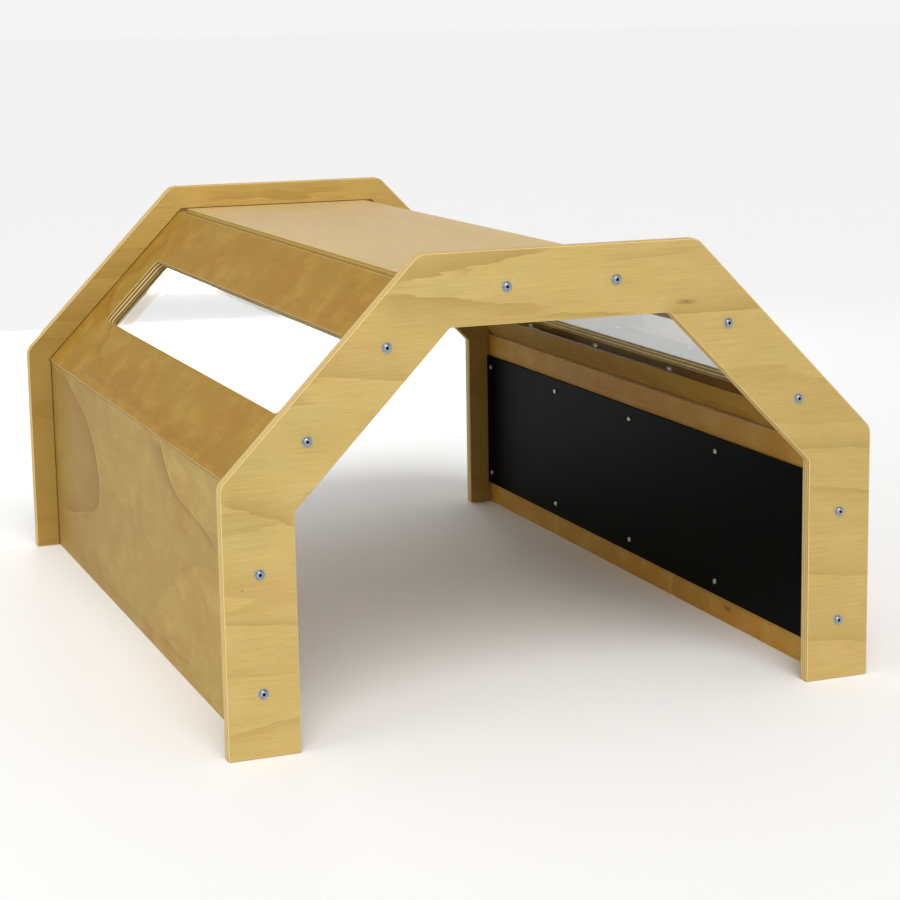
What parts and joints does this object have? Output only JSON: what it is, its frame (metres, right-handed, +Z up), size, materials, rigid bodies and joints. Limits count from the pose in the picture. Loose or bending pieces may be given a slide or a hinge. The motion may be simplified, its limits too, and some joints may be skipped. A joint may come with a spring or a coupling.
{
  "type": "play tunnel",
  "caption": "Free-standing plywood crawl-through tunnel: arched ends joined by flat panels, clear windows in the sloping sides, a blackboard on one inner wall.",
  "frame": {"origin": "on the floor, in the middle of the tunnel's footprint", "axes": "+X across the tunnel towards the side with the blackboard, +Y along the tunnel from the front arch to the rear arch, +Z up"},
  "size_m": [0.9, 1.247, 0.61],
  "materials": {
    "arch_plywood": "varnished birch-faced plywood",
    "panel_plywood": "varnished softwood-faced plywood",
    "clear_sheet": "clear plastic sheet",
    "blackboard": "satin black board",
    "bolts": "bright zinc plate",
    "inserts": "zinc plated",
    "screws": "bright zinc plate"
  },
  "bodies": {
    "root": {"front_arch": "arch_plywood", "rear_arch": "arch_plywood", "left_side_panel": "panel_plywood", "right_side_panel": "panel_plywood", "left_slope_panel": "panel_plywood", "right_slope_panel": "panel_plywood", "top_panel": "panel_plywood", "left_window": "clear_sheet", "right_window": "clear_sheet", "blackboard": "blackboard", "left_side_bolts": "bolts", "right_side_bolts": "bolts", "left_slope_bolts": "bolts", "right_slope_bolts": "bolts", "top_bolts": "bolts", "left_side_inserts": "inserts", "right_side_inserts": "inserts", "left_slope_inserts": "inserts", "right_slope_inserts": "inserts", "top_inserts": "inserts", "left_window_screws": "screws", "right_window_screws": "screws", "blackboard_screws": "screws"}
  },
  "joints": []
}
